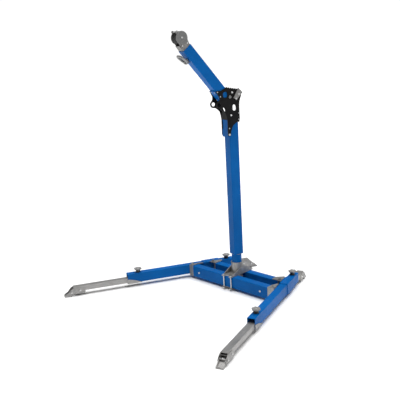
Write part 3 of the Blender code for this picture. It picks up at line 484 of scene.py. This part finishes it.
def lathe(name, profile, steps):
    """A closed surface of revolution about +Z from (radius, height) points that start and end on the axis."""
    bm = bmesh.new()
    rings = []
    for radius, height in profile:
        if radius == 0:
            rings.append([bm.verts.new((0, 0, height))])
            continue
        angles = (2 * math.pi * i / steps for i in range(steps))
        rings.append([bm.verts.new((radius * math.cos(a), radius * math.sin(a), height)) for a in angles])
    for a, b in zip(rings, rings[1:]):
        for i in range(steps):
            j = (i + 1) % steps
            corners = []
            for vertex in (a[i % len(a)], a[j % len(a)], b[j % len(b)], b[i % len(b)]):
                if vertex not in corners:
                    corners.append(vertex)
            if len(corners) > 2:
                bm.faces.new(corners)
    return closed_mesh(name, bm)


def hexagon_ring(bm, flats, z, limit=math.inf):
    """Vertices on a hexagon's sides, or on a circle of radius limit where that lies inside them."""
    ring = []
    for i in range(HEXAGON_STEPS):
        angle = 2 * math.pi * i / HEXAGON_STEPS
        local = (angle + math.pi / 6) % (math.pi / 3) - math.pi / 6
        radius = min((flats / 2) / math.cos(local), limit)
        ring.append(bm.verts.new((radius * math.cos(angle), radius * math.sin(angle), z)))
    return ring


def hexagon(name, flats, height, socket):
    """A hexagon head standing on z = 0, its top corners turned off to a cone, with an optional socket."""
    bm = bmesh.new()
    rings = [hexagon_ring(bm, flats, 0.0), hexagon_ring(bm, flats, height * 0.78),
             hexagon_ring(bm, flats, height, flats / 2 * 0.97)]
    if socket:
        rings += [hexagon_ring(bm, socket, height), hexagon_ring(bm, socket, height * 0.45)]
    for a, b in zip(rings, rings[1:]):
        for i in range(HEXAGON_STEPS):
            j = (i + 1) % HEXAGON_STEPS
            bm.faces.new((a[i], a[j], b[j], b[i]))
    bm.faces.new(list(reversed(rings[0])))
    bm.faces.new(rings[-1])
    return closed_mesh(name, bm)


def facing(point, direction, turn=0.0):
    """A matrix that stands a piece made along +Z on a point, pointing in a direction."""
    z = Vector(direction).normalized()
    x = UP.cross(z) if abs(z.z) < 0.9 else Vector((1, 0, 0))
    x = (x - z * x.dot(z)).normalized()
    return basis(x, z.cross(x), z, Vector(point)) @ Matrix.Rotation(turn, 4, "Z")


def washer(name, inner, outer, point, direction, body):
    thick = WASHER_THICKNESS
    edge = thick * 0.3
    profile = [(0, 0), (outer, 0), (outer, thick - edge), (outer - edge, thick), (inner, thick), (0, thick)]
    piece(name, lathe(name, profile, 32), facing(point, direction), body, MATERIALS["steel"])


def hex_head(name, size, point, direction, body, turn, pad=False, socket=0.0, look="steel"):
    """A bolt head or nut on a point, turned about its axis, on a washer where pad is set."""
    flats, height = size
    start = Vector(point)
    if pad:
        washer(name + "_washer", flats * 0.3, flats * 0.60, start, direction, body)
        start = start + Vector(direction).normalized() * WASHER_SEAT
    place = facing(start, direction, turn)
    piece(name, hexagon(name, flats, height, socket), place, body, MATERIALS[look], 25)


def screw(name, shape, profile, steps, matrix, body):
    piece(name, lathe(shape, profile, steps), matrix, body, MATERIALS["steel"])


def bead(name, points, radius, body, closed=False):
    """A weld bead: a tube along points whose girth ripples once each pitch."""
    path = []
    total = 0.0
    pairs = list(zip(points, points[1:])) + ([(points[-1], points[0])] if closed else [])
    for a, b in pairs:
        length = (b - a).length
        count = max(1, int(length / (BEAD_PITCH / 4)))
        for i in range(count):
            path.append((a.lerp(b, i / count), total + length * i / count))
        total += length
    if not closed:
        path.append((points[-1], total))
    curve = bpy.data.curves.new(name, "CURVE")
    curve.dimensions = "3D"
    curve.bevel_depth = radius
    curve.bevel_resolution = 2
    curve.use_fill_caps = not closed
    spline = curve.splines.new("POLY")
    spline.points.add(len(path) - 1)
    for point, (place, run) in zip(spline.points, path):
        point.co = (*place, 1)
        point.radius = 0.86 + 0.16 * math.cos(2 * math.pi * run / BEAD_PITCH)
    spline.use_cyclic_u = closed
    obj = bpy.data.objects.new(name, curve)
    bpy.context.scene.collection.objects.link(obj)
    graph = bpy.context.evaluated_depsgraph_get()
    mesh = bpy.data.meshes.new_from_object(obj.evaluated_get(graph))
    bpy.data.objects.remove(obj)
    piece(name, mesh, Matrix.Identity(4), body, MATERIALS["weld"], 60)


def middle(box):
    low, high = box
    return (low + high) / 2


# ---------------------------------------------------------------- hardware of each sub-part


def elbow_bolt_heads():
    for node_name, size in ELBOW_HEADS.items():
        centre = middle(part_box(node_name))
        look = "dull" if node_name == "arm_pivot_bolt" else "steel"
        for sign, label in FACES:
            turn = 0.35 * (size[0] * 100 + sign)
            hex_head(f"{node_name}_{label}_head", size, centre + RIGHT * sign * (PLATE_FACE + HEAD_GAP),
                     RIGHT * sign, "mast", turn, look=look)


def elbow_plate_screws():
    for index, (ahead, height) in enumerate(PLATE_SCREWS):
        for sign, label in FACES:
            local = Vector((sign * (PLATE_FACE + SCREW_GAP), -ahead, height))
            screw(f"plate_screw_{index + 1}_{label}", "button_screw", BUTTON_SCREW, 24,
                  facing(MAST @ local, RIGHT * sign), "mast")


def root_guide_screws():
    underside = ARM.to_3x3() @ Vector((0, -1, 0))
    for sign, label in FACES:
        for index, z in enumerate(GUIDE_SCREWS):
            local = Vector((sign * GUIDE_SCREW_X, -GUIDE_FACE, z))
            screw(f"guide_screw_{index + 1}_{label}", "guide_screw", BUTTON_SCREW, 24,
                  facing(ARM @ local, underside), "arm")


def side_strap_screws():
    strap_face = PLATE_FACE + STRAP_GAP + STRAP_THICKNESS
    for index, (ahead, height) in enumerate(STRAP_SCREWS):
        local = Vector((strap_face, -ahead, height))
        hex_head(f"strap_screw_{index + 1}", STRAP_HEAD, MAST @ local, RIGHT, "mast", 0.4 + index,
                 pad=True, socket=STRAP_SOCKET)


def head_hardware():
    """Nuts on the sheaves' axle and the bolts that hold the head plates in the arm."""
    axle_reach = max(abs((Vector(v.co) - AXLE).dot(RIGHT)) for v in NODES["head_axle"].data.vertices)
    for sign, label in FACES:
        hex_head(f"head_axle_nut_{label}", AXLE_NUT, AXLE + RIGHT * sign * (axle_reach - AXLE_NUT_INSET),
                 RIGHT * sign, "arm", 0.3)
        for index, (y, z) in enumerate(HEAD_PLATE_BOLTS):
            hex_head(f"head_plate_bolt_{index + 1}_{label}", HEAD_PLATE_HEAD,
                     ARM @ Vector((sign * HEAD_FACE, y, z)), RIGHT * sign, "arm", 0.2 + index)


def clamp_rod_nuts():
    """A nut above the socket's plate and a head below the clamp plate, on each rod."""
    for end in ENDS:
        for side in SIDES:
            node_name = f"{end}_{side}_clamp_rod"
            low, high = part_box(node_name)
            centre = (low + high) / 2
            hex_head(node_name + "_nut", CLAMP_NUT, (centre.x, centre.y, high.z - CLAMP_NUT_INSET), UP,
                     "base", 0.2 + len(end) * 0.31)
            hex_head(node_name + "_head", CLAMP_NUT, (centre.x, centre.y, low.z + CLAMP_NUT_INSET), -UP,
                     "base", 0.1 + len(side) * 0.27)


def set_bolt_heads():
    for side in SIDES:
        centre = middle(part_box(f"front_{side}_set_bolt"))
        point = (centre.x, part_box("front_crossbar")[0].y, centre.z)
        hex_head(f"front_{side}_set_bolt_head", SET_BOLT_HEAD, point, (0, -1, 0), "base", 0.4)


def foot_hardware(key):
    """Caps on the toe's pin and bolts through the foot bracket."""
    hinge = JOINTS[f"{key}_toe_hinge"]
    across = Vector(hinge["axis"]).normalized()
    pin = Vector(hinge["pos_m"])
    forward = Vector(JOINTS[f"{key}_extension_slide"]["axis"]).normalized()
    for sign, label in ((1, "outer"), (-1, "inner")):
        screw(f"{key}_pin_cap_{label}", "pin_cap", PIN_CAP, 28,
              facing(pin + across * sign * PIN_CAP_REACH, across * sign), f"{key}_toe")
        bolt = pin - forward * BRACKET_BOLT_BACK + UP * BRACKET_BOLT_RISE + across * sign * BRACKET_BOLT_REACH
        hex_head(f"{key}_bracket_bolt_{label}", BRACKET_HEAD, bolt, across * sign, f"{key}_extension", 0.3)


def knob_insert(key):
    low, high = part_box(f"{key}_knob")
    top = Vector(((low.x + high.x) / 2, (low.y + high.y) / 2, high.z - KNOB_INSERT_SEAT))
    screw(f"{key}_knob_insert", "knob_insert", KNOB_INSERT, 28, Matrix.Translation(top), f"{key}_knob")


def level_ring(radius, z):
    """Points of a level circle about the mast's axis."""
    angles = (2 * math.pi * i / RING_STEPS for i in range(RING_STEPS))
    return [Vector((MAST_FOOT.x + radius * math.cos(a), MAST_FOOT.y + radius * math.sin(a), z))
            for a in angles]


def socket_welds():
    """Beads on the mast socket: round the sleeve and along both cheeks."""
    plate_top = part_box("front_crossbar")[1].z + SOCKET_PLATE
    sleeve = level_ring(SLEEVE_WELD_RADIUS, plate_top + SLEEVE_BEAD_RISE)
    bead("socket_sleeve_weld", sleeve, SLEEVE_BEAD, "base", True)
    for sign, label in reversed(FACES):
        for face, tag in CHEEK_FACES:
            x = MAST_FOOT.x + sign * (CHEEK_X + face)
            for start, stop, part in CHEEK_RUNS:
                ends = [Vector((x, MAST_FOOT.y + y, plate_top + CHEEK_BEAD_RISE)) for y in (start, stop)]
                bead(f"cheek_weld_{label}_{part}_{tag}", ends, CHEEK_BEAD, "base")


def spigot_weld():
    """A bead round the spigot where it enters the square mast."""
    mast_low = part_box("mast_tube")[0].z
    spigot = level_ring(SPIGOT_WELD_RADIUS, mast_low - SPIGOT_BEAD_DROP)
    bead("spigot_weld", spigot, SPIGOT_BEAD, "mast", True)


elbow_bolt_heads()
elbow_plate_screws()
root_guide_screws()
side_strap_screws()
head_hardware()
clamp_rod_nuts()
set_bolt_heads()
for leg_side in SIDES:
    for leg_end in ENDS:
        foot_hardware(f"{leg_side}_{leg_end}")
        knob_insert(f"{leg_side}_{leg_end}")
socket_welds()
spigot_weld()

# ---------------------------------------------------------------- studio


def pale_floor():
    bm = bmesh.new()
    bmesh.ops.create_grid(bm, x_segments=1, y_segments=1, size=30)
    mesh = bpy.data.meshes.new("floor")
    bm.to_mesh(mesh)
    bm.free()
    floor = bpy.data.objects.new("floor", mesh)
    bpy.context.scene.collection.objects.link(floor)
    floor.location.z = CAD_BOX[0][2] - 0.0002
    look = Nodes("pale_floor", 0.85, specular=0.1)
    pale = look.mix(look.noise(1.2, 2.0), (0.94, 0.94, 0.94), (0.96, 0.96, 0.96))
    mesh.materials.append(look.finish(pale))


def pale_world():
    """White round the horizon, which lights the sides, under a darker sky."""
    world = bpy.data.worlds.new("studio")
    bpy.context.scene.world = world
    world.use_nodes = True
    tree = world.node_tree
    coords = tree.nodes.new("ShaderNodeTexCoord")
    split = tree.nodes.new("ShaderNodeSeparateXYZ")
    tree.links.new(coords.outputs["Generated"], split.inputs["Vector"])
    ramp = tree.nodes.new("ShaderNodeValToRGB")
    tree.links.new(split.outputs["Z"], ramp.inputs["Fac"])
    horizon, sky = ramp.color_ramp.elements
    horizon.position = 0.165
    horizon.color = (1.05, 1.05, 1.05, 1)
    sky.position = 0.21
    sky.color = (0.05, 0.05, 0.05, 1)
    tree.links.new(ramp.outputs["Color"], tree.nodes["Background"].inputs["Color"])


def overhead_light():
    light = bpy.data.lights.new("overhead", "SUN")
    light.energy = 4.2
    light.angle = math.radians(70)
    overhead = bpy.data.objects.new("overhead", light)
    bpy.context.scene.collection.objects.link(overhead)
    overhead.rotation_euler = (math.radians(-6), math.radians(5), 0)


pale_floor()
pale_world()
overhead_light()

# ---------------------------------------------------------------- camera

EYE_FROM_MAST = Vector((3.23494, -3.47359, 1.85849))
AZIMUTH = 0.80516
ELEVATION = 0.23733
ROLL = -0.05513

lens = bpy.data.cameras.new("camera")
lens.sensor_width = 36.0
lens.lens = 57.295
lens.clip_end = 100
camera = bpy.data.objects.new("camera", lens)
bpy.context.scene.collection.objects.link(camera)
bpy.context.scene.camera = camera
level = Vector((math.cos(AZIMUTH), math.sin(AZIMUTH), 0))
back = Vector((math.sin(AZIMUTH) * math.cos(ELEVATION), -math.cos(AZIMUTH) * math.cos(ELEVATION),
               math.sin(ELEVATION)))
above = back.cross(level)
camera_x = level * math.cos(ROLL) + above * math.sin(ROLL)
camera_y = above * math.cos(ROLL) - level * math.sin(ROLL)
camera.matrix_world = basis(camera_x, camera_y, back, MAST_FOOT + EYE_FROM_MAST)

bpy.context.scene.view_settings.view_transform = "Standard"
bpy.context.view_layer.update()
